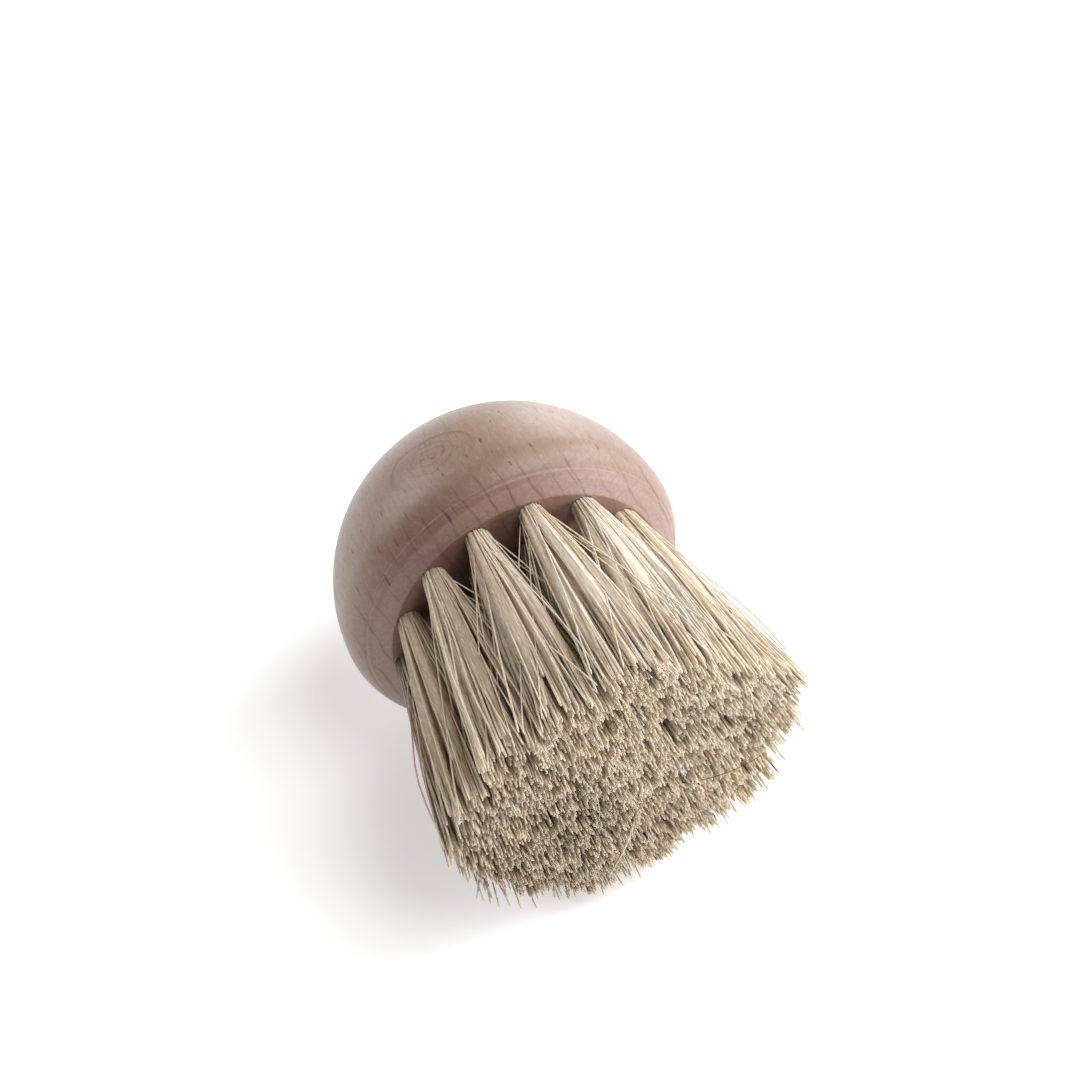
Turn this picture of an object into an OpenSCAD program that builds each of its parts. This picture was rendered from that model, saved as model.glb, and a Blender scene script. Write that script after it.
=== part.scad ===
// Round palm brush for a beard: a turned wooden knob with bristle tufts set in rings.
// It lies on its side on the plane z = 0. The brush's axis runs along Y at the height of the
// knob's radius, with the bristle tips towards -Y and the crown of the knob towards +Y.
// The origin is under the middle of the brush. Lengths are in millimetres.

/* [Handle] */
// Widest diameter of the knob, which is also the diameter of its ball-shaped crown
handle_d = 56; // [54:0.5:60]
// Distance from the rim back to the widest circle
shoulder_h = 6; // [5:0.5:8]
// Straight band at the widest circle, between the shoulder and the crown
land_h = 0.5; // [0.2:0.1:2]
// Diameter of the rim, where the shoulder meets the bevel of the face
rim_d = 50.2; // [49.6:0.2:51]
// Diameter of the flat middle of the face, which holds every tuft
face_d = 45.2; // [45:0.1:46]
// Height of the flat middle of the face above the rim
face_rise = 1.2; // [0.6:0.1:2]
// Radius of the fine turned groove beside the rim
groove_r = 0.3; // [0.2:0.05:0.4]
// Distance from the rim back to the middle of that groove
groove_back = 0.9; // [0.7:0.1:1.5]

/* [Tufts] */
// Distance from one ring of tufts to the next, and from the middle to the first ring
ring_pitch = 6.8; // [6.6:0.05:6.8]
// Diameter of each drilled hole and of the tuft where it leaves the wood
tuft_d = 3.8; // [3.2:0.1:4]
// Depth of each drilled hole below the face, without its drill point
hole_depth = 8; // [7:0.5:11]
// Distance from the rim to the trimmed bristle tips
tip_h = 36.5; // [30:0.5:45]
// Outward lean of the outer ring of tufts
splay = 2.2; // [2:0.1:3]
// Length over which each tuft opens out
flare_h = 14; // [8:1:20]
// Diameter of an outer tuft at its tips
outer_tip_d = 7.8; // [6:0.1:7.8]
// Diameter of each other tuft at its tips
inner_tip_d = 6.4; // [5:0.1:6.4]

/* [Anchors] */
// How far each end of an anchor bites into the wood beside its hole
anchor_bite = 0.4; // [0.2:0.05:0.5]
// Thickness of the flat anchor wire
anchor_t = 0.4; // [0.3:0.05:0.6]
// Width of the flat anchor wire, along its hole
anchor_w = 1.6; // [1:0.1:2]

/* [Hidden] */
$fn = 96;
handle_r = handle_d / 2;
rim_r = rim_d / 2;
face_r = face_d / 2;
dome_back = shoulder_h + land_h;
total_h = tip_h + dome_back + handle_r;
rim_y = tip_h - total_h / 2;
shoulder_in = handle_r - rim_r;
shoulder_r = (pow(shoulder_in, 2) + pow(shoulder_h, 2)) / (2 * shoulder_in);
shoulder_x = handle_r - shoulder_r;
bevel_x = 2 * rim_r - face_r;            // where the bevel's line is face_rise behind the rim
groove_x = shoulder_x + sqrt(pow(shoulder_r, 2) - pow(shoulder_h - groove_back, 2));

rings = 3;                // rings of tufts around the middle one
ring_step = 5;            // each ring has this many tufts more than the one inside it
top_angle = 90;           // the first tuft of each ring stands at the top
start_h = 0.6;            // a tuft begins to open out this far above the face
mid_part = 0.92;          // share of its tip diameter that a tuft has where flare_h ends
past_tips = 4;            // a tuft is made this much too long, then trimmed flat
drill_h = tuft_d / 2 * tan(31);          // drill point with an angle of 118 degrees
anchor_up = 0.7;          // bristle left under the anchor, where the tuft is folded over it
anchor_l = tuft_d + 2 * anchor_bite;
anchor_depth = hole_depth - anchor_up - anchor_w / 2;
big = 3 * total_h;

function ring_count(ring) = ring == 0 ? 1 : ring_step * ring;
function pad(n) = n < 10 ? str("0", n) : str(n);
function tip_d(ring) = ring == rings ? outer_tip_d : inner_tip_d;

outer_nodes = [for (n = [1 : ring_count(3)]) str("tuft_outer_", pad(n))];
middle_nodes = [for (n = [1 : ring_count(2)]) str("tuft_middle_", pad(n))];
inner_nodes = [for (n = [1 : ring_count(1)]) str("tuft_inner_", pad(n))];
anchor_nodes = ["anchors_outer", "anchors_middle", "anchors_inner", "anchor_centre"];

// Lays the brush on its side: children are drawn with the rim's centre at the origin, the
// brush's axis along Z and the bristle tips towards +Z.
module lay_down() {
    translate([0, rim_y, handle_r]) rotate([90, 0, 0]) children();
}

// Puts children on the axis of tuft n of a ring, with z = 0 at the face and +Z out of the hole.
module at_tuft(ring, n) {
    turn = top_angle - (n - 1) * 360 / ring_count(ring);
    rotate([0, 0, turn])
        translate([ring * ring_pitch, 0, face_rise])
            rotate([0, splay * ring / rings, 0])
                children();
}

module at_each_tuft() {
    for (ring = [0 : rings])
        for (n = [1 : ring_count(ring)])
            at_tuft(ring, n) children();
}

// The blind hole of one tuft. It ends over above its own z = 0.
module tuft_hole(over) {
    translate([0, 0, -hole_depth]) cylinder(d = tuft_d, h = hole_depth + over);
    translate([0, 0, -hole_depth - drill_h]) cylinder(d1 = 0, d2 = tuft_d, h = drill_h);
}

// A flat piece of wire across the hole. The tuft is folded over it and driven in with it.
module anchor() {
    translate([0, 0, -anchor_depth]) cube([anchor_t, anchor_l, anchor_w], center = true);
}

// Half of the knob's section, on the right of the axis, with the rim at y = 0.
module handle_section() {
    // crown
    intersection() {
        translate([0, -dome_back]) circle(r = handle_r);
        translate([0, -dome_back - handle_r]) square([handle_r, handle_r]);
    }
    // straight band at the widest circle
    translate([0, -dome_back]) square([handle_r, land_h]);
    // rounded shoulder, cut by the bevel and the flat of the face
    intersection() {
        union() {
            translate([0, -shoulder_h]) square([shoulder_x, shoulder_h + face_rise]);
            intersection() {
                translate([shoulder_x, -shoulder_h]) circle(r = shoulder_r);
                translate([shoulder_x, -shoulder_h]) square(shoulder_r);
            }
        }
        polygon([
            [0, -shoulder_h],
            [bevel_x, -shoulder_h],
            [bevel_x, -face_rise],
            [face_r, face_rise],
            [0, face_rise]
        ]);
    }
}

module handle() {
    color("BurlyWood") lay_down() difference() {
        rotate_extrude() difference() {
            handle_section();
            translate([groove_x, -groove_back]) circle(r = groove_r);
        }
        at_each_tuft() tuft_hole(past_tips);
        at_each_tuft() anchor();
    }
}

// One tuft: packed tight in its hole, opening out above the face, trimmed flat at the tips.
module tuft(ring, n) {
    end_d = tip_d(ring);
    mid_d = mid_part * end_d;
    lean_h = tip_h - face_rise - flare_h;
    color("Wheat") lay_down() intersection() {
        at_tuft(ring, n) difference() {
            union() {
                tuft_hole(start_h);
                translate([0, 0, start_h]) cylinder(d1 = tuft_d, d2 = mid_d, h = flare_h - start_h);
                translate([0, 0, flare_h]) cylinder(d1 = mid_d, d2 = end_d, h = lean_h + past_tips);
            }
            anchor();
        }
        translate([-big / 2, -big / 2, tip_h - big]) cube(big);
    }
}

module anchors(ring) {
    color("Silver") lay_down() for (n = [1 : ring_count(ring)]) at_tuft(ring, n) anchor();
}

handle();
for (n = [1 : ring_count(3)]) tuft(3, n);
for (n = [1 : ring_count(2)]) tuft(2, n);
for (n = [1 : ring_count(1)]) tuft(1, n);
tuft(0, 1);  // tuft_centre
anchors(3);  // anchors_outer
anchors(2);  // anchors_middle
anchors(1);  // anchors_inner
anchors(0);  // anchor_centre
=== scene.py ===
import math
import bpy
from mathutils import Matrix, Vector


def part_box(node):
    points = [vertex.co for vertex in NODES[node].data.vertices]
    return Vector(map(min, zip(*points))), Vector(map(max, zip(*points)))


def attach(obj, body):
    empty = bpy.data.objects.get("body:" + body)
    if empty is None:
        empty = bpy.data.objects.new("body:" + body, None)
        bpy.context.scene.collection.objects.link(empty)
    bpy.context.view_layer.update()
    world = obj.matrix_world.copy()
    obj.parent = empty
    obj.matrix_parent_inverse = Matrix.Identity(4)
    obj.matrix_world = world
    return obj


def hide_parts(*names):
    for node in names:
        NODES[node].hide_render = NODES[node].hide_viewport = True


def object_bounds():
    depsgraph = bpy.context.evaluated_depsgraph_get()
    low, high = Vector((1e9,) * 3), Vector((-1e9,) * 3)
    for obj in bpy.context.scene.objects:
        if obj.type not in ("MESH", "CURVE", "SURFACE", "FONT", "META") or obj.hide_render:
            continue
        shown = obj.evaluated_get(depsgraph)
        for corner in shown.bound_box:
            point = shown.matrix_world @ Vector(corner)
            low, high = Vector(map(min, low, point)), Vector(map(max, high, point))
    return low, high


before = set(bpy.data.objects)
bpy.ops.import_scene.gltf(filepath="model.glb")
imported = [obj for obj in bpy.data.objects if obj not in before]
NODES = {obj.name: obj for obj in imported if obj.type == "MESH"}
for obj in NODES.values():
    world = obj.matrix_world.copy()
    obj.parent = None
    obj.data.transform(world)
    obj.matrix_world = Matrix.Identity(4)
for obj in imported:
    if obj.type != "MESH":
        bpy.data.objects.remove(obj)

from types import SimpleNamespace

import bmesh
import bpy
import numpy as np
from mathutils import Vector
from mathutils.geometry import delaunay_2d_cdt

MM = 0.001
CAD_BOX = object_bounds()
HALF_WIDTH = (CAD_BOX[1].x - CAD_BOX[0].x) / 2          # radius of the knob in metres


def add_object(name, data):
    thing = bpy.data.objects.new(name, data)
    bpy.context.scene.collection.objects.link(thing)
    return thing


def look_along(thing, direction):
    thing.rotation_mode = "QUATERNION"
    thing.rotation_quaternion = direction.to_track_quat("-Z", "Y")


# ---------------------------------------------------------------- camera

CAMERA_AZIMUTH = -23.9          # degrees; 0 looks along +Y
CAMERA_ELEVATION = 43.9         # degrees above the floor
CAMERA_DISTANCE = 0.1934        # metres from the point that it looks at
CAMERA_LENS = 41.57             # millimetres on a 36 mm sensor
CAMERA_AIM = Vector((0.0045, 0.0067, 0.0353))
CLIP_START, CLIP_END = 0.01, 20.0


def make_camera():
    azimuth, elevation = math.radians(CAMERA_AZIMUTH), math.radians(CAMERA_ELEVATION)
    back = Vector((
        math.sin(azimuth) * math.cos(elevation),
        -math.cos(azimuth) * math.cos(elevation),
        math.sin(elevation),
    ))
    data = bpy.data.cameras.new("camera")
    data.lens = CAMERA_LENS
    data.clip_start, data.clip_end = CLIP_START, CLIP_END
    camera = add_object("camera", data)
    camera.location = CAMERA_AIM + back * CAMERA_DISTANCE
    look_along(camera, -back)
    bpy.context.scene.camera = camera


# ---------------------------------------------------------------- node helpers

class Tree:
    """Adds shader nodes to one material and links them."""

    def __init__(self, name):
        self.material = bpy.data.materials.new(name)
        self.material.use_nodes = True
        self.nodes = self.material.node_tree.nodes
        self.links = self.material.node_tree.links
        self.shader = self.nodes["Principled BSDF"]

    def put(self, value, socket):
        if isinstance(value, bpy.types.NodeSocket):
            self.links.new(value, socket)
        elif value is not None:
            socket.default_value = value

    def set(self, **values):
        for name, value in values.items():
            self.put(value, self.shader.inputs[name.replace("_", " ")])

    def place(self):
        """The point on the object, in metres."""
        return self.nodes.new("ShaderNodeTexCoord").outputs["Object"]

    def channels(self, colour):
        """The red, green and blue of a colour."""
        node = self.nodes.new("ShaderNodeSeparateColor")
        self.links.new(colour, node.inputs[0])
        return node.outputs[0], node.outputs[1], node.outputs[2]

    def math(self, operation, a, b=None, c=None):
        node = self.nodes.new("ShaderNodeMath")
        node.operation = operation
        for value, socket in zip((a, b, c), node.inputs):
            self.put(value, socket)
        return node.outputs[0]

    def times(self, first, *others):
        """The product of two or more values."""
        product = first
        for other in others:
            product = self.math("MULTIPLY", product, other)
        return product

    def vector(self, operation, a, b=None, scale=None):
        node = self.nodes.new("ShaderNodeVectorMath")
        node.operation = operation
        self.put(a, node.inputs[0])
        self.put(b, node.inputs[1])
        if scale is not None:
            self.put(scale, node.inputs["Scale"])
        return node.outputs["Value" if operation in ("DOT_PRODUCT", "LENGTH") else "Vector"]

    def combine(self, x, y, z):
        node = self.nodes.new("ShaderNodeCombineXYZ")
        for value, socket in zip((x, y, z), node.inputs):
            self.put(value, socket)
        return node.outputs[0]

    def noise(self, vector, scale=1.0, detail=2.0, roughness=0.5):
        node = self.nodes.new("ShaderNodeTexNoise")
        self.put(vector, node.inputs["Vector"])
        node.inputs["Scale"].default_value = scale
        node.inputs["Detail"].default_value = detail
        node.inputs["Roughness"].default_value = roughness
        return node.outputs["Fac"]

    def cells(self, vector):
        """Distance to the middle of the nearest cell in a plane, and that cell's random colour."""
        node = self.nodes.new("ShaderNodeTexVoronoi")
        node.voronoi_dimensions = "2D"
        self.put(vector, node.inputs["Vector"])
        node.inputs["Scale"].default_value = 1.0
        node.inputs["Randomness"].default_value = 1.0
        return node.outputs["Distance"], node.outputs["Color"]

    def ramp(self, value, low, high, smooth=True):
        """0 where the value is at low or before it, 1 where it is at high or past it."""
        node = self.nodes.new("ShaderNodeMapRange")
        node.interpolation_type = "SMOOTHSTEP" if smooth else "LINEAR"
        self.put(value, node.inputs["Value"])
        self.put(low, node.inputs["From Min"])
        self.put(high, node.inputs["From Max"])
        return node.outputs["Result"]

    def mix(self, factor, a, b):
        node = self.nodes.new("ShaderNodeMix")
        node.data_type = "RGBA"
        self.put(factor, node.inputs["Factor"])
        for value, socket in ((a, node.inputs[6]), (b, node.inputs[7])):
            self.put(value if isinstance(value, bpy.types.NodeSocket) else (*value, 1.0), socket)
        return node.outputs[2]

    def paint(self, colour, layers):
        """Lays colours over another one. Each layer is where it shows, its strength and its colour."""
        for where, strength, over in layers:
            colour = self.mix(self.math("MULTIPLY", where, strength), colour, over)
        return colour

    def bump(self, height, distance, strength=1.0):
        node = self.nodes.new("ShaderNodeBump")
        node.inputs["Strength"].default_value = strength
        node.inputs["Distance"].default_value = distance
        self.put(height, node.inputs["Height"])
        return node.outputs["Normal"]


def srgb(red, green, blue):
    """A linear colour from display values of 0 to 255."""
    def linear(value):
        value /= 255
        return value / 12.92 if value <= 0.04045 else ((value + 0.055) / 1.055) ** 2.4
    return linear(red), linear(green), linear(blue)


# ---------------------------------------------------------------- beech

FIBRE = Vector((0.0, 1.0, 0.0))                       # the fibres run along the brush's axis
RING_NORMAL = Vector((-0.38, 0.14, 0.915)).normalized()  # across the growth rings
RAY_NORMAL = FIBRE.cross(RING_NORMAL).normalized()      # across the rays
KNOB_RADIUS = HALF_WIDTH / MM   # this and all lengths in the wood are in millimetres
KNOB_CENTRE = Vector((0.0, CAD_BOX[1].y / MM - KNOB_RADIUS, KNOB_RADIUS))
EYE = KNOB_CENTRE + RING_NORMAL * KNOB_RADIUS         # the crown just touches a growth ring here
OFF_AXIS = (1.0, 0.0, 1.0)      # keeps what lies across the brush's axis
RING_WIDTH = 2.9
RING_CURVE = 1 / 150            # the rings bend round the heart of the tree
FIRST_RING = 0.55               # depth of the ring line nearest to the eye
RING_LINE = (0.06, 0.01)        # the dark line at the start of a ring ends between these shares of it
RING_EDGE = 0.014               # and sets in over this one
RING_WANDER = 0.9               # how far the rings wander from even curves
FIBRE_WANDER = 2.4              # and how far the fibres wander sideways
EYE_LINE = 0.62                 # strength of the ring line round the eye
EYE_OVAL = (1.0, 1.15, 1.0)     # the eye is a little shorter along the fibres
FLECK_REACH = (4.2, 1.6)        # flecks fade in between these distances from the eye
WHORL_REACH = (6.0, 3.5)        # and so do whorls
RAY_LINES = 3.1                 # distance between the lines of rays on the end grain
RAY_LINE_SHIFT = 0.9
RAY_SLANT = 0.08                # the rays' ends lean from one fibre to the next
GRAIN_RELIEF = 0.07 * MM
BEVEL_START = (22.4, 22.9)      # the bevel begins between these distances from the axis
SIDE_GRAIN = srgb(157, 129, 109)
END_GRAIN = srgb(153, 120, 107)
RED_HEART = srgb(146, 112, 96)
PALE_WOOD = srgb(176, 156, 142)
DARK_FIBRE = srgb(128, 100, 84)
RAY_BROWN = srgb(96, 60, 46)
RAY_RED = srgb(104, 58, 46)
BEVEL_WOOD = srgb(184, 154, 145)
# painted shade: the darker reddish brown of the shoulder behind the rim
SHOULDER_SHADE_RED = srgb(126, 84, 68)
LINE_BROWN = srgb(112, 70, 50)
RAY_DARK = srgb(62, 36, 27)


def wood_place(t):
    """Where a point lies in the wood, seen from the eye, and how far its surface faces along the fibres."""
    place = t.vector("SCALE", t.place(), scale=1 / MM)
    from_eye = t.vector("SUBTRACT", place, EYE)
    from_centre = t.vector("SUBTRACT", place, KNOB_CENTRE)
    normal = t.nodes.new("ShaderNodeNewGeometry").outputs["Normal"]
    along = t.vector("DOT_PRODUCT", from_eye, FIBRE)
    across = t.vector("DOT_PRODUCT", from_eye, RAY_NORMAL)
    depth = t.vector("DOT_PRODUCT", from_eye, RING_NORMAL)
    slow = t.noise(t.combine(across, t.math("MULTIPLY", along, 0.4), depth), 0.16, 3)
    wander = t.math("SUBTRACT", slow, 0.5)
    return SimpleNamespace(
        from_eye=from_eye,
        along=along,
        across=across,
        wavy_across=t.math("MULTIPLY_ADD", wander, FIBRE_WANDER, across),
        depth=t.math("MULTIPLY_ADD", wander, RING_WANDER, depth),
        from_axis=t.vector("LENGTH", t.vector("MULTIPLY", from_centre, OFF_AXIS)),
        end_grain=t.math("ABSOLUTE", t.vector("DOT_PRODUCT", normal, FIBRE)),
    )


def grain_noise(t, w, stretch, scale, detail, roughness=0.5):
    """Noise that follows the wandering fibres. A stretch below 1 draws its marks out along them."""
    spot = t.combine(w.wavy_across, t.math("MULTIPLY", w.along, stretch), w.depth)
    return t.noise(spot, scale, detail, roughness)


def growth_rings(t, w):
    """Thin dark lines, strongest round the eye and on the end grain."""
    bent = t.math("MULTIPLY_ADD", t.times(w.across, w.across), RING_CURVE, w.depth)
    ring_at = t.math("DIVIDE", t.math("ADD", bent, FIRST_RING), RING_WIDTH)
    ring = t.math("FRACT", ring_at)
    line = t.times(t.ramp(ring, *RING_LINE), t.ramp(ring, 0.0, RING_EDGE))
    broken = t.ramp(t.noise(t.combine(w.across, w.along, w.depth), 0.22, 2), 0.38, 0.62)
    strength = t.math("MULTIPLY_ADD", broken, 0.14, 0.05)
    strength = t.math("MULTIPLY_ADD", t.ramp(w.end_grain, 0.3, 0.7), 0.22, strength)
    round_eye = t.times(t.ramp(ring_at, -0.2, -0.02), t.ramp(w.along, -5.0, 3.0))
    return line, t.math("MAXIMUM", strength, t.times(round_eye, EYE_LINE))


def eye_marks(t, w):
    """Faint whorls and brown flecks inside the first ring."""
    distance = t.vector("LENGTH", t.vector("MULTIPLY", w.from_eye, EYE_OVAL))
    spot = t.combine(t.times(w.across, 0.8), t.times(w.along, 1.1), w.depth)
    flecks = t.times(t.ramp(t.noise(spot, 0.9, 2), 0.54, 0.68), t.ramp(distance, *FLECK_REACH))
    swirl = t.noise(w.from_eye, 0.3, 2)
    whorl = t.math("FRACT", t.math("MULTIPLY_ADD", swirl, 1.6, t.times(distance, 0.62)))
    return t.times(t.ramp(whorl, 0.35, 0.0), t.ramp(distance, *WHORL_REACH)), flecks


def rays(t, w, apart, length, width, share, seed):
    """Ribbons that reach deep into the wood and show as short strokes along the fibres."""
    along = t.math("MULTIPLY_ADD", w.across, RAY_SLANT, w.along)
    column = t.math("ADD", t.math("DIVIDE", w.wavy_across, apart), seed)
    distance, colour = t.cells(t.combine(column, t.math("DIVIDE", along, length), 0.0))
    picked, size, _ = t.channels(colour)
    reach = t.math("ADD", t.times(size, width), width * 0.4)
    stroke = t.ramp(t.math("DIVIDE", distance, reach), 1.0, 0.35)
    return t.times(stroke, t.math("LESS_THAN", picked, share))


def ray_lines(t, w):
    """Lines of rays where the turning cuts across the fibres, each with its own strength and with gaps."""
    line_at = t.math("DIVIDE", t.math("ADD", w.wavy_across, RAY_LINE_SHIFT), RAY_LINES)
    own = t.ramp(t.noise(t.combine(t.math("FLOOR", line_at), 0.0, 0.0), 1.7, 0), 0.3, 0.6)
    gaps = t.ramp(t.noise(w.from_eye, 0.35, 1), 0.35, 0.55)
    from_line = t.math("ABSOLUTE", t.math("SUBTRACT", t.math("FRACT", line_at), 0.5))
    return t.times(
        t.ramp(from_line, 0.09, 0.01),
        t.math("MULTIPLY_ADD", own, 0.6, 0.4),
        t.ramp(w.end_grain, 0.2, 0.55),
        t.math("MULTIPLY_ADD", gaps, 0.5, 0.5),
    )


def wood_noises(t, w):
    """The finer unevenness of the wood: fibres, silky bands, pores, clouds and spots."""
    return SimpleNamespace(
        fibres=grain_noise(t, w, 0.06, 2.6, 4, 0.65),
        silk=grain_noise(t, w, 0.45, 1.7, 3, 0.6),
        pores=grain_noise(t, w, 0.2, 8.0, 2),
        cloud=t.noise(t.combine(w.across, t.times(w.along, 0.6), w.depth), 0.075, 3),
        mottle=t.noise(w.from_eye, 0.55, 3, 0.6),
    )


def wood_colour(t, w, noises, ground, marks):
    """The wood's colour, built up from its ground colour: broad tints and the painted shade on the shoulder
    first, then the marks.
    """
    # painted shade: the shoulder behind the rim is painted a darker reddish brown, as the shade that falls
    # on it
    shoulder_shade = t.times(
        t.ramp(w.along, -3.0, -8.5),
        t.ramp(t.math("ABSOLUTE", w.across), 17.0, 5.0),
        t.math("MULTIPLY_ADD", noises.mottle, 0.8, 0.2),
    )
    on_bevel = t.times(t.ramp(w.from_axis, *BEVEL_START), t.ramp(w.end_grain, 0.78, 0.86))
    return t.paint(ground, [
        (t.ramp(noises.cloud, 0.42, 0.62), 0.45, RED_HEART),
        (shoulder_shade, 0.85, SHOULDER_SHADE_RED),
        (on_bevel, 0.35, BEVEL_WOOD),
        (t.ramp(noises.mottle, 0.5, 0.8), 0.25, PALE_WOOD),
        (t.ramp(noises.fibres, 0.4, 0.75), 0.42, DARK_FIBRE),
        (t.ramp(noises.silk, 0.45, 0.7), 0.22, DARK_FIBRE),
        (t.ramp(noises.silk, 0.5, 0.3), 0.22, PALE_WOOD),
        *marks,
    ])


def wood_height(t, w, noises, bold, cut_rays):
    """Open pores, marks of the turning tool on the end grain, and rays that lie a little deeper."""
    tool = t.combine(t.times(w.from_axis, 3.2), t.times(w.along, 2.0), t.times(w.across, 0.35))
    chatter = t.times(t.noise(tool, 1.0, 3, 0.6), t.ramp(w.end_grain, 0.5, 0.85))
    height = t.math("MULTIPLY_ADD", noises.fibres, 0.5, t.times(noises.pores, 0.35))
    height = t.math("MULTIPLY_ADD", chatter, 0.9, height)
    return t.math("SUBTRACT", height, t.times(t.math("MULTIPLY_ADD", cut_rays, 0.3, bold), 0.5))


def beech():
    t = Tree("beech")
    w = wood_place(t)
    noises = wood_noises(t, w)
    ring_line, ring_strength = growth_rings(t, w)
    whorl, flecks = eye_marks(t, w)
    bold = rays(t, w, 3.0, 10.0, 0.072, 0.5, 3.0)
    strokes = rays(t, w, 1.5, 7.0, 0.12, 0.45, 7.0)
    fine = rays(t, w, 0.55, 3.4, 0.2, 0.6, 11.0)
    cut_rays = ray_lines(t, w)

    ground = t.mix(t.ramp(w.end_grain, 0.15, 0.8), SIDE_GRAIN, END_GRAIN)
    colour = wood_colour(t, w, noises, ground, [
        (ring_line, ring_strength, LINE_BROWN),
        (whorl, 0.34, LINE_BROWN),
        (flecks, 0.7, LINE_BROWN),
        (fine, 0.22, RAY_BROWN),
        (cut_rays, 0.5, RAY_RED),
        (strokes, 0.5, RAY_BROWN),
        (bold, 0.68, RAY_DARK),
    ])
    height = wood_height(t, w, noises, bold, cut_rays)
    t.set(Base_Color=colour, Roughness=t.math("MULTIPLY_ADD", noises.fibres, 0.16, 0.40))
    t.set(Normal=t.bump(height, GRAIN_RELIEF, 0.6))
    t.set(Specular_IOR_Level=0.8, Sheen_Weight=0.35, Sheen_Roughness=0.4)
    return t.material


# ---------------------------------------------------------------- bristle and wire

BRISTLE_BROWN = srgb(120, 92, 71)
BRISTLE_CREAM = srgb(229, 212, 188)
BRISTLE_PALE = srgb(227, 219, 206)
BRISTLE_YELLOW = srgb(224, 198, 156)
BRISTLE_STAIN = srgb(190, 160, 126)
BRISTLE_SHADE = srgb(150, 120, 92)
BRISTLE_LIGHT = srgb(250, 243, 230)
# paler ends: split ends are paler, and this is partly a painted highlight where the tips catch the light
BRISTLE_END = srgb(245, 234, 212)
BRISTLE_DARK = srgb(66, 48, 36)
HAIR_STRETCH = (1.0, 0.04, 1.0)  # the finest marks are drawn out along the bristles
HAIR_RELIEF = 0.06 * MM
SCATTER_SCALE = 0.15 * MM
SCATTER_RADIUS = (0.9, 0.95, 1.0)
WARM_SHEEN = (1.0, 0.84, 0.66, 1.0)
WIRE_DARK = (0.42, 0.42, 0.41)
WIRE_LIGHT = (0.60, 0.60, 0.58)
WIRE_RELIEF = 0.01 * MM


def bristle():
    t = Tree("bristle")
    attribute = t.nodes.new("ShaderNodeAttribute")
    attribute.attribute_name = "strand"
    tone, along, dark = t.channels(attribute.outputs["Color"])
    place = t.place()
    stain = t.noise(t.vector("MULTIPLY", place, (1.0, 0.25, 1.0)), 900.0, 3)
    warm = t.noise(t.vector("MULTIPLY", place, (1.0, 0.2, 1.0)), 170.0, 2)
    hairs = t.noise(t.vector("MULTIPLY", place, HAIR_STRETCH), 8000.0, 2)
    colour = t.mix(t.ramp(tone, 0.0, 0.5, False), BRISTLE_BROWN, BRISTLE_CREAM)
    colour = t.mix(t.ramp(tone, 0.5, 1.0, False), colour, BRISTLE_PALE)
    colour = t.paint(colour, [
        (t.ramp(warm, 0.42, 0.64), 0.38, BRISTLE_YELLOW),
        (t.ramp(stain, 0.5, 0.75), 0.2, BRISTLE_STAIN),
        (t.ramp(hairs, 0.5, 0.68), 0.42, BRISTLE_SHADE),
        (t.ramp(hairs, 0.48, 0.32), 0.42, BRISTLE_LIGHT),
        # the ends are paler, partly as split ends and partly as a painted highlight
        (t.ramp(along, 0.90, 0.99), 0.48, BRISTLE_END),
    ])
    t.set(Base_Color=t.mix(dark, colour, BRISTLE_DARK))
    t.set(Roughness=t.math("MULTIPLY_ADD", stain, 0.2, 0.32), Normal=t.bump(hairs, HAIR_RELIEF, 0.7))
    t.set(Specular_IOR_Level=0.45, Subsurface_Weight=0.3)
    t.set(Subsurface_Scale=SCATTER_SCALE, Subsurface_Radius=SCATTER_RADIUS)
    t.set(Sheen_Weight=0.45, Sheen_Roughness=0.4, Sheen_Tint=WARM_SHEEN)
    return t.material


def steel_wire():
    t = Tree("steel_wire")
    drawn = t.noise(t.vector("MULTIPLY", t.place(), (1.0, 1.0, 12.0)), 2500.0, 3)
    t.set(Base_Color=t.mix(drawn, WIRE_DARK, WIRE_LIGHT), Metallic=1.0)
    t.set(Roughness=t.math("MULTIPLY_ADD", drawn, 0.2, 0.3), Normal=t.bump(drawn, WIRE_RELIEF))
    return t.material


# ---------------------------------------------------------------- tufts

STRAND_ROOT = 0.13 * MM         # radius of a strand in its hole
STRAND_TIP = 0.165 * MM         # and near its end, which is split and fluffed
TIP_TAPER = 0.7                 # its very end is narrower by this factor
STRAND_SIDES = 6
STRAND_RINGS = 12
STRANDS_OUTER = 290
STRANDS_INNER = 275
IN_HOLE = 1.2 * MM              # how far a strand is followed down its hole
FLARE_OUTER = 0.52              # 0 opens a tuft in straight lines, 1 opens it mostly near its root
FLARE_INNER = 0.80
SPREAD_OUTER = 4.9 * MM
SPREAD_INNER = 4.6 * MM
LOCK_SIZE = 26                  # strands in a lock
BUNCH_SIZE = 3                  # strands whose tips stick together
TRIM_BACK = 0.5 * MM            # most strands end this far behind the plane of the tips
PAST_TIPS = 0.3 * MM            # none ends further than this in front of it
BROKEN_SHARE = 0.12
STRAY_SHARE = 0.15
STRAY_REACH = np.array([2.2, 5.6]) * MM   # how far strays end from their place, outward and sideways
STRAY_WIDTH = 0.72              # strays are thinner by this factor
DARK_SHARE = 0.012
DARK_WIDTH = 0.6                # and so are dark hairs by this one
TUFT_LEAN = 0.75 * MM
PRESSED = 0.08                  # the tips are pressed flatter by this share from lying on their side
TONE = 0.41                     # 0 is brown, 0.5 cream and 1 the palest bristle
PAINTED_LIGHT_SIDE = np.array([0.8, 0.0, 0.6])     # painted light and shade: tufts on this side, towards the lamps, are painted paler, and those on the far side browner
PAINTED_LIGHT_SIDE_TONE = 0.36
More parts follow.
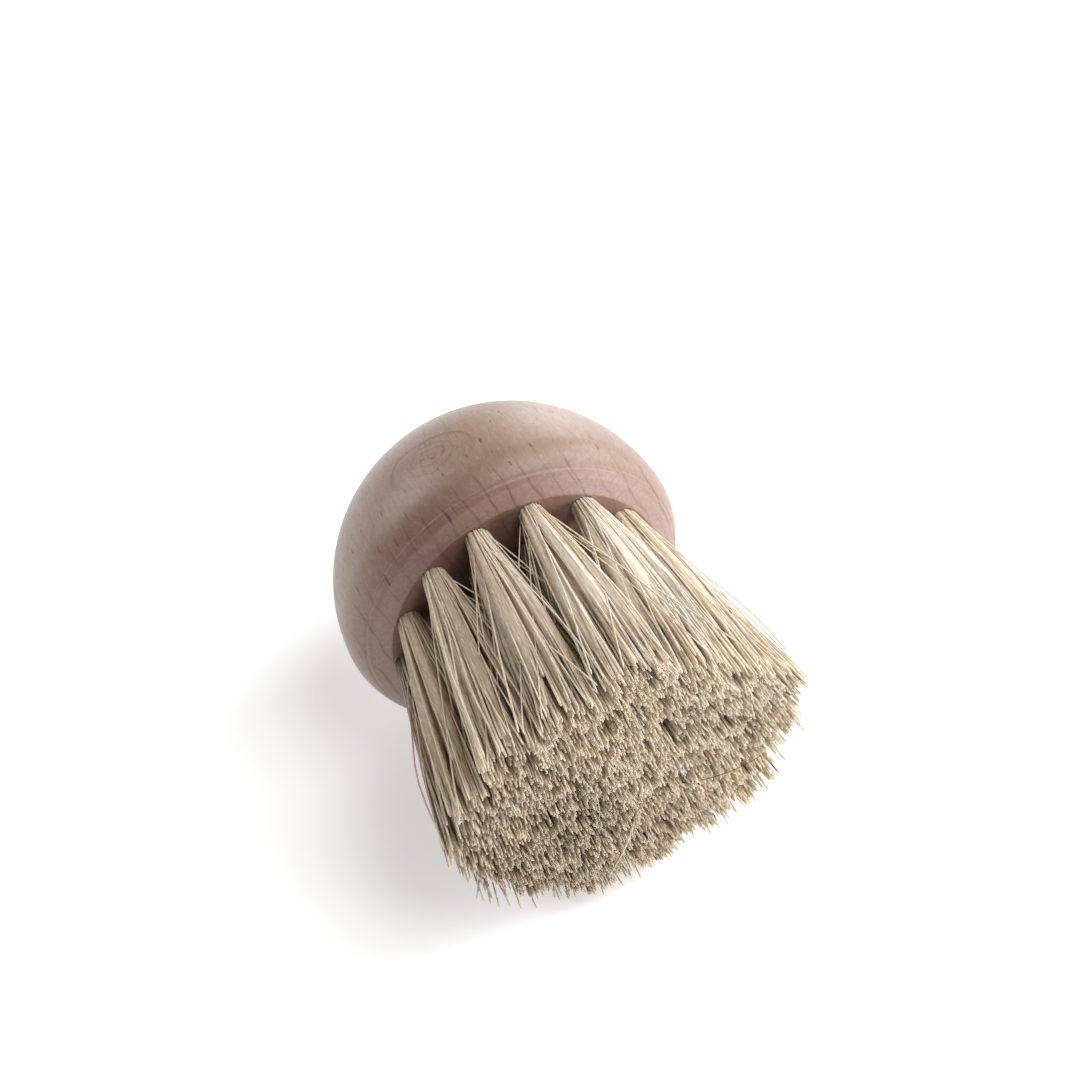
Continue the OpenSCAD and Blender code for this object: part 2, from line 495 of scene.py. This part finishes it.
DEPTH_SHADE_TONE = 0.22                # painted shade: strands deeper inside their tuft are painted darker, as the shade between strands, and those at its outside paler
DEPTH_SHADE_MIDDLE = 0.6
ODD_SHARE = 0.04                # these strands and the strays are paler than the rest
ODD_TONE = 0.2
# painted shade: the packed middles of the locks are painted darker than their strands, as the shade inside
# the locks
CORE_SHADE_TONE = -0.10
CORE_SIDES = 44
CORE_RIBS = 0.06                # how unevenly the sides of a packed middle stand out
CORE_WIDTH = 1.20               # width of a lock's packed middle against its strands' median distance
CORE_FADE = (0.60, 0.97)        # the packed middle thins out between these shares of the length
OUTER_FREE = 25.5 * MM          # further than this from the brush's axis, hairs are held back more and more
OUTER_LIMIT = 28.1 * MM         # and they never reach this distance
AXIS_Z = KNOB_RADIUS * MM
FIRST_SEED = 100
GOLDEN_ANGLE = math.pi * (3 - math.sqrt(5))


def tuft_names():
    return [name for name in NODES if name.startswith("tuft_")]


def tuft_facts(name):
    """Where a tuft leaves the wood, its direction, radius and length, read from its CAD node."""
    mesh = NODES[name].data
    points = np.zeros(len(mesh.vertices) * 3, np.float32)
    mesh.vertices.foreach_get("co", points)
    points = points.reshape(-1, 3).astype(float)
    face_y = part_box("handle")[0].y
    tip_y = points[:, 1].min()
    bottom = points[points[:, 1].argmax()]
    tips = points[points[:, 1] < tip_y + 1e-6]
    middle = (tips.min(0) + tips.max(0)) / 2
    direction = middle - bottom
    direction /= np.linalg.norm(direction)
    root = bottom + direction * (face_y - bottom[1]) / direction[1]
    inside = points[points[:, 1] > face_y] - bottom
    away = inside - np.outer(inside @ direction, direction)
    return SimpleNamespace(
        root=root,
        direction=direction,
        radius=float(np.linalg.norm(away, axis=1).max()),
        length=(float(tip_y) - root[1]) / direction[1],
    )


def tubes(paths, radii, colours, sides=STRAND_SIDES):
    """Closed tubes along paths (tubes x rings x 3), as the arrays that tube_mesh takes.

    radii is tubes x rings, with a third axis of sides where the tubes are ribbed.
    colours is tubes x rings x 3.
    """
    count, rings = paths.shape[:2]
    ahead = np.gradient(paths, axis=1)
    ahead /= np.linalg.norm(ahead, axis=2, keepdims=True)
    one = np.cross(ahead, np.array([0.31, 0.05, 0.95]))    # no strand runs in this direction
    one /= np.linalg.norm(one, axis=2, keepdims=True)
    two = np.cross(ahead, one)
    turn = np.arange(sides) * 2 * math.pi / sides
    around = (one[:, :, None] * np.cos(turn)[None, None, :, None]
              + two[:, :, None] * np.sin(turn)[None, None, :, None])
    points = paths[:, :, None] + around * radii.reshape(count, rings, -1, 1)

    index = np.arange(count * rings * sides).reshape(count, rings, sides)
    a, b = index[:, :-1], index[:, 1:]
    quads = np.stack([a, np.roll(a, -1, 2), np.roll(b, -1, 2), b], -1).reshape(-1, 4)
    caps = np.concatenate([index[:, 0, ::-1], index[:, -1]]).reshape(-1, sides)
    shade = np.ones((count, rings, sides, 4))
    shade[..., :3] = colours[:, :, None, :]
    return points.reshape(-1, 3), quads, caps, shade.reshape(-1, 4)


def tube_mesh(name, *sets):
    """One mesh of several sets of tubes, with their colours in the attribute "strand"."""
    loops, sizes, smooth, before = [], [], [], 0
    for points, quads, caps, shade in sets:
        loops += [quads.ravel() + before, caps.ravel() + before]
        sizes += [np.full(len(quads), 4), np.full(len(caps), caps.shape[1])]
        smooth += [np.ones(len(quads), bool), np.zeros(len(caps), bool)]
        before += len(points)
    loops, sizes = np.concatenate(loops), np.concatenate(sizes)
    places = np.concatenate([part[0] for part in sets]).astype(np.float32)
    shades = np.concatenate([part[3] for part in sets]).astype(np.float32)
    mesh = bpy.data.meshes.new(name)
    mesh.vertices.add(before)
    mesh.vertices.foreach_set("co", places.ravel())
    mesh.loops.add(len(loops))
    mesh.loops.foreach_set("vertex_index", loops.astype(np.int32))
    mesh.polygons.add(len(sizes))
    starts = np.concatenate([[0], np.cumsum(sizes)[:-1]])
    mesh.polygons.foreach_set("loop_start", starts.astype(np.int32))
    mesh.update(calc_edges=True)
    mesh.validate()
    mesh.polygons.foreach_set("use_smooth", np.concatenate(smooth))
    attribute = mesh.attributes.new("strand", "FLOAT_COLOR", "POINT")
    attribute.data.foreach_set("color", shades.ravel())
    return mesh


def disc_points(random, count):
    """Points spread evenly over a unit disc, with a little jitter."""
    k = np.arange(count) + 0.5
    radius = np.sqrt(k / count)
    angle = k * GOLDEN_ANGLE + random.uniform(0, 2 * math.pi)
    points = np.stack([radius * np.cos(angle), radius * np.sin(angle)], 1)
    return points + random.normal(0, 0.35 / math.sqrt(count), points.shape)


def gather(random, points, group_size, least, most):
    """Pulls points towards the middles of their groups. Returns them and their groups."""
    middles = disc_points(random, max(3, len(points) // group_size))
    group = np.argmin(((points[:, None] - middles[None]) ** 2).sum(2), 1)
    for number in set(group.tolist()):
        middles[number] = points[group == number].mean(0)
    pull = random.uniform(least, most, len(middles))[group][:, None]
    return points * (1 - pull) + middles[group] * pull, group


def tuft_sides(facts):
    """Two directions across a tuft: away from the brush's axis, and along its ring."""
    root, direction = facts.root, facts.direction
    outward = root - np.array([0.0, root[1], AXIS_Z])
    if np.linalg.norm(outward) < 1 * MM:
        outward = np.array([0.0, 0.0, 1.0])
    outward -= direction * (outward @ direction)
    outward /= np.linalg.norm(outward)
    return outward, np.cross(direction, outward)


def strand_ends(random, start):
    """Where each strand ends on a disc of radius 1, and the lock and the bunch that it belongs to."""
    end = start * random.uniform(0.92, 1.08, (len(start), 1)) + random.normal(0, 0.10, start.shape)
    end, lock = gather(random, end, LOCK_SIZE, 0.05, 0.40)
    end, bunch = gather(random, end, BUNCH_SIZE, 0.2, 0.65)
    return end + random.normal(0, 0.06, (lock.max() + 1, 2))[lock], lock, bunch


def strand_reach(random, length, lock, bunch):
    """How far each strand reaches along its tuft. A few broken ones end well short of the tips."""
    count = len(lock)
    reach = length - TRIM_BACK + random.normal(0, 0.45 * MM, count)
    reach += random.normal(0, 0.40 * MM, bunch.max() + 1)[bunch]
    reach += random.normal(0, 0.35 * MM, lock.max() + 1)[lock]
    broken = random.random(count) < BROKEN_SHARE
    reach -= broken * random.uniform(0.6, 6.0, count) * MM
    return np.minimum(reach, length + PAST_TIPS)


def strands_across(random, facts, start, end, stray, flare, s):
    """How far each strand lies from its tuft's axis, outward and sideways, at the shares s of its length."""
    count = len(start)
    open_out = (1 - flare) * s + flare * (1 - (1 - s) ** 2.2)
    bend = random.normal(0, 0.42 * MM, (count, 2)) + random.normal(0, TUFT_LEAN, 2)
    wander = random.normal(0, 1, (count, 2)) * STRAY_REACH * stray[:, None]
    wave = random.normal(0, 0.20 * MM, (count, 2))
    turns = random.uniform(0.6, 1.9, (count, 1))
    sway = np.sin(random.uniform(0, 2 * math.pi, (count, 1)) + turns * 2 * math.pi * s) * s

    rooted = start * (facts.radius - STRAND_ROOT)
    across = rooted[:, None] * (1 - open_out)[None, :, None] + end[:, None] * open_out[None, :, None]
    across += bend[:, None] * (s ** 2)[None, :, None] + wander[:, None] * s[None, :, None]
    across += wave[:, None] * sway[:, :, None]
    return np.concatenate([rooted[:, None], across], 1)


def hold_in(paths):
    """Holds hairs back that would leave the brush's outline."""
    from_axis = np.hypot(paths[..., 0], paths[..., 2] - AXIS_Z)
    beyond = np.maximum(from_axis - OUTER_FREE, 0) / (OUTER_LIMIT - OUTER_FREE)
    held = np.minimum(from_axis, OUTER_FREE) + (OUTER_LIMIT - OUTER_FREE) * np.tanh(beyond)
    inside = held / np.maximum(from_axis, 0.01 * MM)
    paths[..., 0] *= inside
    paths[..., 2] = AXIS_Z + (paths[..., 2] - AXIS_Z) * inside


def strand_paths(random, facts, start, end, reach, stray, flare):
    """The strands' paths, and the share of their length at each of their rings."""
    s = np.append(np.linspace(0, 0.985, STRAND_RINGS - 2), 1.0)
    across = strands_across(random, facts, start, end, stray, flare, s)
    up = np.concatenate([np.full((len(start), 1), -IN_HOLE), reach[:, None] * s[None]], 1)
    outward, sideways = tuft_sides(facts)
    paths = facts.root + up[:, :, None] * facts.direction
    paths += across[:, :, :1] * outward + across[:, :, 1:] * sideways
    share = np.append(0.0, s)
    paths[..., 2] = AXIS_Z + (paths[..., 2] - AXIS_Z) * (1 - PRESSED * share ** 2)
    hold_in(paths)
    return paths, share


def strand_colours(tone, share, dark):
    """Tone, share of the length and darkness of each strand, as the red, green and blue of its rings."""
    colours = np.zeros((len(tone), len(share), 3))
    colours[:, :, 0] = tone[:, None]
    colours[:, :, 1] = share[None]
    colours[:, :, 2] = dark[:, None]
    return colours


def lock_cores(random, paths, share, lock, tone):
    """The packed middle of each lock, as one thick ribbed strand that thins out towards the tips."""
    numbers = [n for n in range(lock.max() + 1) if (lock == n).sum() > 3]
    middles = np.array([paths[lock == n].mean(0) for n in numbers])
    widths = np.array([
        np.median(np.linalg.norm(paths[lock == n] - middle, axis=2), axis=0)
        for n, middle in zip(numbers, middles)
    ])
    fade = 1 - np.clip((share - CORE_FADE[0]) / (CORE_FADE[1] - CORE_FADE[0]), 0, 1)
    widths = np.maximum(CORE_WIDTH * widths * fade, STRAND_ROOT)
    ribs = 1 + random.normal(0, CORE_RIBS, (len(numbers), 1, CORE_SIDES))
    tone = np.clip(tone[numbers], 0, 1)
    colours = strand_colours(tone, share * 0.9, np.zeros(len(numbers)))
    return tubes(middles, widths[:, :, None] * ribs, colours, CORE_SIDES)


def strand_tones(random, facts, start, lock, stray):
    """The tone of each strand and of each lock."""
    # painted light and shade: a tuft facing the lamps is painted paler, and one facing away browner
    base = TONE + PAINTED_LIGHT_SIDE_TONE * float(tuft_sides(facts)[0] @ PAINTED_LIGHT_SIDE)
    lock_tone = base + random.normal(0, 0.10, lock.max() + 1)
    # painted shade: a strand is darker the deeper inside its tuft it starts
    lit_skin = np.linalg.norm(start, axis=1) - DEPTH_SHADE_MIDDLE
    tone = lock_tone[lock] + DEPTH_SHADE_TONE * lit_skin + random.normal(0, 0.04, len(start))
    odd = stray | (random.random(len(start)) < ODD_SHARE)
    return np.where(odd, tone + ODD_TONE, tone), lock_tone


def make_tuft(name, seed, material):
    random = np.random.default_rng(seed)
    facts = tuft_facts(name)
    outer = "outer" in name
    count = STRANDS_OUTER if outer else STRANDS_INNER
    spread = SPREAD_OUTER if outer else SPREAD_INNER
    flare = FLARE_OUTER if outer else FLARE_INNER
    start = disc_points(random, count)
    end, lock, bunch = strand_ends(random, start)
    reach = strand_reach(random, facts.length, lock, bunch)
    stray = random.random(count) < STRAY_SHARE
    paths, share = strand_paths(random, facts, start, end * spread, reach, stray, flare)

    dark = random.random(count) < DARK_SHARE
    thick = random.uniform(0.75, 1.25, count) * np.where(stray, STRAY_WIDTH, 1.0)
    thick *= np.where(dark, DARK_WIDTH, 1.0)
    radii = thick[:, None] * (STRAND_ROOT + (STRAND_TIP - STRAND_ROOT) * share)[None]
    radii[:, -1] *= TIP_TAPER
    tone, lock_tone = strand_tones(random, facts, start, lock, stray)
    strands = tubes(paths, radii, strand_colours(np.clip(tone, 0, 1), share, dark))
    steady = ~(stray | dark)
    # the packed middles are painted darker, as painted shade
    cores = lock_cores(random, paths[steady], share, lock[steady], lock_tone + CORE_SHADE_TONE)
    mesh = tube_mesh(name + "_strands", strands, cores)
    add_bristles("bristles_" + name.removeprefix("tuft_"), mesh, material, name)


def add_bristles(name, mesh, material, *replaced):
    piece = add_object(name, mesh)
    piece.data.materials.append(material)
    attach(piece, "root")
    if replaced:
        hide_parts(*replaced)


# hairs that lie loose over the trimmed tips: start, middle and end as x, distance in front of the
# tips and z in millimetres, then radius in millimetres, tone and darkness
LOOSE_HAIRS = [
    ((3, -3, 23), (0, 1, 16), (-4, 1.4, 9.5), 0.21, 1.0, 0.0),
    ((3, -3, 23), (11, 1.2, 22), (20, 0.6, 24.5), 0.06, 0.3, 1.0),
    ((-9, -4, 34), (-5, 0.5, 30), (-6, 1.2, 25), 0.08, 1.0, 0.0),
    ((14, -4, 36), (18, 0.6, 33), (19, 1.0, 28), 0.06, 0.3, 1.0),
]


def make_loose_hairs(material):
    tip_y = CAD_BOX[0].y / MM
    s = np.linspace(0, 1, STRAND_RINGS)[:, None]
    paths, radii, colours = [], [], []
    for start, middle, end, radius, tone, dark in LOOSE_HAIRS:
        a, b, c = (np.array([x, tip_y - front, z]) for x, front, z in (start, middle, end))
        paths.append(((1 - s) ** 2 * a + 2 * s * (1 - s) * b + s ** 2 * c) * MM)
        radii.append((1 - 0.5 * s[:, 0] ** 2) * radius * MM)
        colours.append(np.concatenate([np.full_like(s, tone), s * 0.9, np.full_like(s, dark)], 1))
    mesh = tube_mesh("loose_hairs", tubes(np.array(paths), np.array(radii), np.array(colours)))
    add_bristles("loose_hairs", mesh, material)


def make_tufts():
    material = bristle()
    for number, name in enumerate(sorted(tuft_names())):
        make_tuft(name, FIRST_SEED + number, material)
    make_loose_hairs(material)


# ---------------------------------------------------------------- knob

SHOULDER_HEIGHT = 6.0 * MM      # from the rim back to the widest circle
LAND_HEIGHT = 0.5 * MM          # straight band at the widest circle
RIM_RADIUS = 25.1 * MM
FLAT_RADIUS = 22.6 * MM         # flat middle of the face
FACE_RISE = 1.2 * MM            # the flat stands this far in front of the rim
GROOVE_BACK = 0.9 * MM          # from the rim back to the turned groove
GROOVE_RADIUS = 0.3 * MM
GROOVE_DEPTH = 0.10 * MM
RIM_SOFTNESS = 0.45 * MM        # the rim is sanded over this length on each side
FLAT_SOFTNESS = 0.08 * MM       # and so is the edge of the flat
HOLE_DEPTH = 8.0 * MM
HOLE_POINT = 1.1 * MM
HOLE_CHAMFER = 0.12 * MM
CROWN_START = 89.2              # degrees; a fan of triangles closes the crown's pole
CROWN_STEPS = 110
SHOULDER_STEPS = 220
KNOB_SEGMENTS = 360
HOLE_SEGMENTS = 48


def blend_corner(before, corner, after, steps=7):
    """Points of a soft corner between two points of the section."""
    t = np.linspace(0, 1, steps)[:, None]
    return (1 - t) ** 2 * before + 2 * t * (1 - t) * corner + t ** 2 * after


def crown_section(radius):
    angles = np.radians(np.linspace(CROWN_START, 0, CROWN_STEPS))
    crown_back = SHOULDER_HEIGHT + LAND_HEIGHT
    return np.stack([radius * np.cos(angles), -crown_back - radius * np.sin(angles)], 1)


def shoulder_section(radius):
    """The rounded shoulder with the turned groove in it."""
    inward = radius - RIM_RADIUS
    bend = (inward ** 2 + SHOULDER_HEIGHT ** 2) / (2 * inward)
    angles = np.linspace(0, math.asin(SHOULDER_HEIGHT / bend), SHOULDER_STEPS)
    shoulder = np.stack([
        radius - bend + bend * np.cos(angles),
        -SHOULDER_HEIGHT + bend * np.sin(angles),
    ], 1)
    off_groove = shoulder[:, 1] + GROOVE_BACK
    depth = GROOVE_DEPTH * np.clip(1 - (off_groove / GROOVE_RADIUS) ** 2, 0, 1)
    shoulder[:, 0] -= depth * np.cos(angles)
    shoulder[:, 1] -= depth * np.sin(angles)
    return shoulder[shoulder[:, 1] < -RIM_SOFTNESS]


def knob_section():
    """The turned outline from the crown's pole to the edge of the flat: radius and height above the rim."""
    shoulder = shoulder_section(HALF_WIDTH)
    rim = np.array([RIM_RADIUS, 0.0])
    edge = np.array([FLAT_RADIUS, FACE_RISE])
    slope = (edge - rim) / np.linalg.norm(edge - rim)
    rim_corner = blend_corner(shoulder[-1], rim, rim + slope * RIM_SOFTNESS)[1:]
    bevel = np.linspace(rim_corner[-1], edge - slope * FLAT_SOFTNESS, 8)[1:-1]
    flat = edge - np.array([FLAT_SOFTNESS, 0.0])
    edge_corner = blend_corner(edge - slope * FLAT_SOFTNESS, edge, flat, 4)

    # away from the groove, every second point of the shoulder is enough
    keep = np.ones(len(shoulder), bool)
    keep[1::2] = np.abs(shoulder[1::2, 1] + GROOVE_BACK) < 2 * GROOVE_RADIUS
    return np.concatenate([crown_section(HALF_WIDTH), shoulder[keep], rim_corner, bevel, edge_corner])


def circle_points(segments):
    turn = np.arange(segments) * 2 * math.pi / segments
    return np.stack([np.cos(turn), np.sin(turn)], 1)


def band(first, second):
    """Faces with four corners between rings of points and the next rings, both given by their numbers."""
    corners = [first, np.roll(first, -1, -1), np.roll(second, -1, -1), second]
    return np.stack(corners, -1).reshape(-1, 4).tolist()


def hole_points(name, face_y):
    """The chamfer's outer and inner ring, the ring at the foot of the wall and the drill point."""
    facts = tuft_facts(name)
    one = np.cross(facts.direction, np.array([0.0, 0.0, 1.0]))
    one /= np.linalg.norm(one)
    two = np.cross(facts.direction, one)
    circle = circle_points(HOLE_SEGMENTS)
    around = circle[:, :1] * one + circle[:, 1:] * two
    rim = facts.root + around * (facts.radius + HOLE_CHAMFER)
    rim[:, 1] = face_y
    wall = facts.root + around * facts.radius
    upper = wall - facts.direction * HOLE_CHAMFER
    lower = wall - facts.direction * HOLE_DEPTH
    tip = facts.root - facts.direction * (HOLE_DEPTH + HOLE_POINT)
    return rim, upper, lower, tip[None]


def flat_with_holes(rings):
    """Triangles of the flat face between its outline, the first ring, and the rims of its holes, the others.

    The rings are 2-D points. A triangle's corners are numbered through all rings.
    """
    edges, start = [], 0
    for ring in rings:
        index = start + np.arange(len(ring))
        edges += np.stack([index, np.roll(index, -1)], 1).tolist()
        start += len(ring)
    points = [Vector(p / MM) for p in np.concatenate(rings)]
    found = delaunay_2d_cdt(points, edges, [list(range(len(rings[0])))], 1, 1e-6)
    back = [origin[0] for origin in found[3]]
    ring_of = np.repeat(np.arange(len(rings)), [len(ring) for ring in rings])
    triangles = []
    for face in found[2]:
        corners = [back[v] for v in face]
        touched = set(ring_of[corners].tolist())
        inside_hole = len(touched) == 1 and touched != {0}
        if not inside_hole:
            triangles.append(corners)
    return triangles


def knob_surface():
    """The knob's points and faces, and how many of the faces belong to the turned, smooth part."""
    low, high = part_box("handle")
    face_y, axis_z = low.y, (low.z + high.z) / 2
    section = knob_section()
    circle = circle_points(KNOB_SEGMENTS)
    rings = np.stack([
        section[:, None, 0] * circle[None, :, 0],
        np.repeat(face_y + FACE_RISE - section[:, 1:], KNOB_SEGMENTS, 1),
        axis_z + section[:, None, 0] * circle[None, :, 1],
    ], -1)
    index = np.arange(len(section) * KNOB_SEGMENTS).reshape(len(section), KNOB_SEGMENTS)
    pole = index.size
    points = [rings.reshape(-1, 3), np.array([[0.0, high.y, axis_z]])]
    faces = band(index[:-1], index[1:])
    faces += [[pole, p, q] for p, q in zip(index[0], np.roll(index[0], -1))]
    turned_faces = len(faces)

    edges, edge_numbers, first = [rings[-1]], [index[-1]], pole + 1
    for name in tuft_names():
        points += hole_points(name, face_y)
        rim, upper, lower = (first + np.arange(3 * HOLE_SEGMENTS)).reshape(3, HOLE_SEGMENTS)
        tip = first + 3 * HOLE_SEGMENTS
        faces += band(rim, upper) + band(upper, lower)
        faces += [[p, q, tip] for p, q in zip(lower, np.roll(lower, -1))]
        edges.append(points[-4])
        edge_numbers.append(rim)
        first = tip + 1
    numbers = np.concatenate(edge_numbers)
    flat = flat_with_holes([ring[:, (0, 2)] for ring in edges])
    faces += [numbers[triangle].tolist() for triangle in flat]
    return np.concatenate(points), faces, turned_faces


def make_knob(material):
    points, faces, turned_faces = knob_surface()
    mesh = bpy.data.meshes.new("knob")
    mesh.from_pydata(points.tolist(), [], [[int(v) for v in face] for face in faces])
    solid = bmesh.new()
    solid.from_mesh(mesh)
    bmesh.ops.recalc_face_normals(solid, faces=solid.faces)
    solid.to_mesh(mesh)
    solid.free()
    mesh.polygons.foreach_set("use_smooth", np.arange(len(faces)) < turned_faces)
    mesh.materials.append(material)
    knob = add_object("knob", mesh)
    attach(knob, "root")
    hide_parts("handle")


# ---------------------------------------------------------------- floor and light

FLOOR_REACH = 3.0               # metres from the middle to each side
FLOOR_COLOUR = (0.84, 0.84, 0.84, 1.0)
FLOOR_GLOW = 0.35               # keeps the floor as white as in the photo
WHITE = (1.0, 1.0, 1.0, 1.0)
WORLD_STRENGTH = 0.08
LIGHT_AIM = Vector((0.0, 0.0, 0.02))
LIGHTS = {
    # azimuth (0 is +X) and elevation of the light in degrees, its distance and size in metres,
    # its power in watts
    "window_low": (322, 12, 1.0, 0.42, 5.4),
    "window_high": (4, 31, 1.0, 0.6, 6.2),
    "side": (56, 14, 1.0, 0.45, 3.0),
    "back": (132, 34, 1.0, 0.6, 3.8),
    "top": (320, 66, 1.0, 0.6, 5.4),
}


def make_floor():
    r = FLOOR_REACH
    mesh = bpy.data.meshes.new("floor")
    mesh.from_pydata([(-r, -r, 0), (r, -r, 0), (r, r, 0), (-r, r, 0)], [], [(0, 1, 2, 3)])
    t = Tree("floor_white")
    t.set(Base_Color=FLOOR_COLOUR, Roughness=0.9, Emission_Color=WHITE, Emission_Strength=FLOOR_GLOW)
    mesh.materials.append(t.material)
    floor = add_object("floor", mesh)


def make_lights():
    for name, (azimuth, elevation, distance, size, power) in LIGHTS.items():
        azimuth, elevation = math.radians(azimuth), math.radians(elevation)
        outward = Vector((
            math.cos(azimuth) * math.cos(elevation),
            math.sin(azimuth) * math.cos(elevation),
            math.sin(elevation),
        ))
        data = bpy.data.lights.new(name, "AREA")
        data.shape = "DISK"
        data.size = size
        data.energy = power
        light = add_object(name, data)
        light.location = outward * distance + LIGHT_AIM
        look_along(light, -outward)


def make_world():
    scene = bpy.context.scene
    scene.view_settings.view_transform = "Standard"
    scene.view_settings.look = "None"
    world = bpy.data.worlds.new("studio")
    world.use_nodes = True
    background = world.node_tree.nodes["Background"]
    background.inputs["Color"].default_value = WHITE
    background.inputs["Strength"].default_value = WORLD_STRENGTH
    scene.world = world


# ---------------------------------------------------------------- build

make_camera()
make_knob(beech())
wire = steel_wire()
for name, node in NODES.items():
    if name.startswith("anchor"):
        node.data.materials.clear()
        node.data.materials.append(wire)
make_tufts()
make_floor()
make_lights()
make_world()
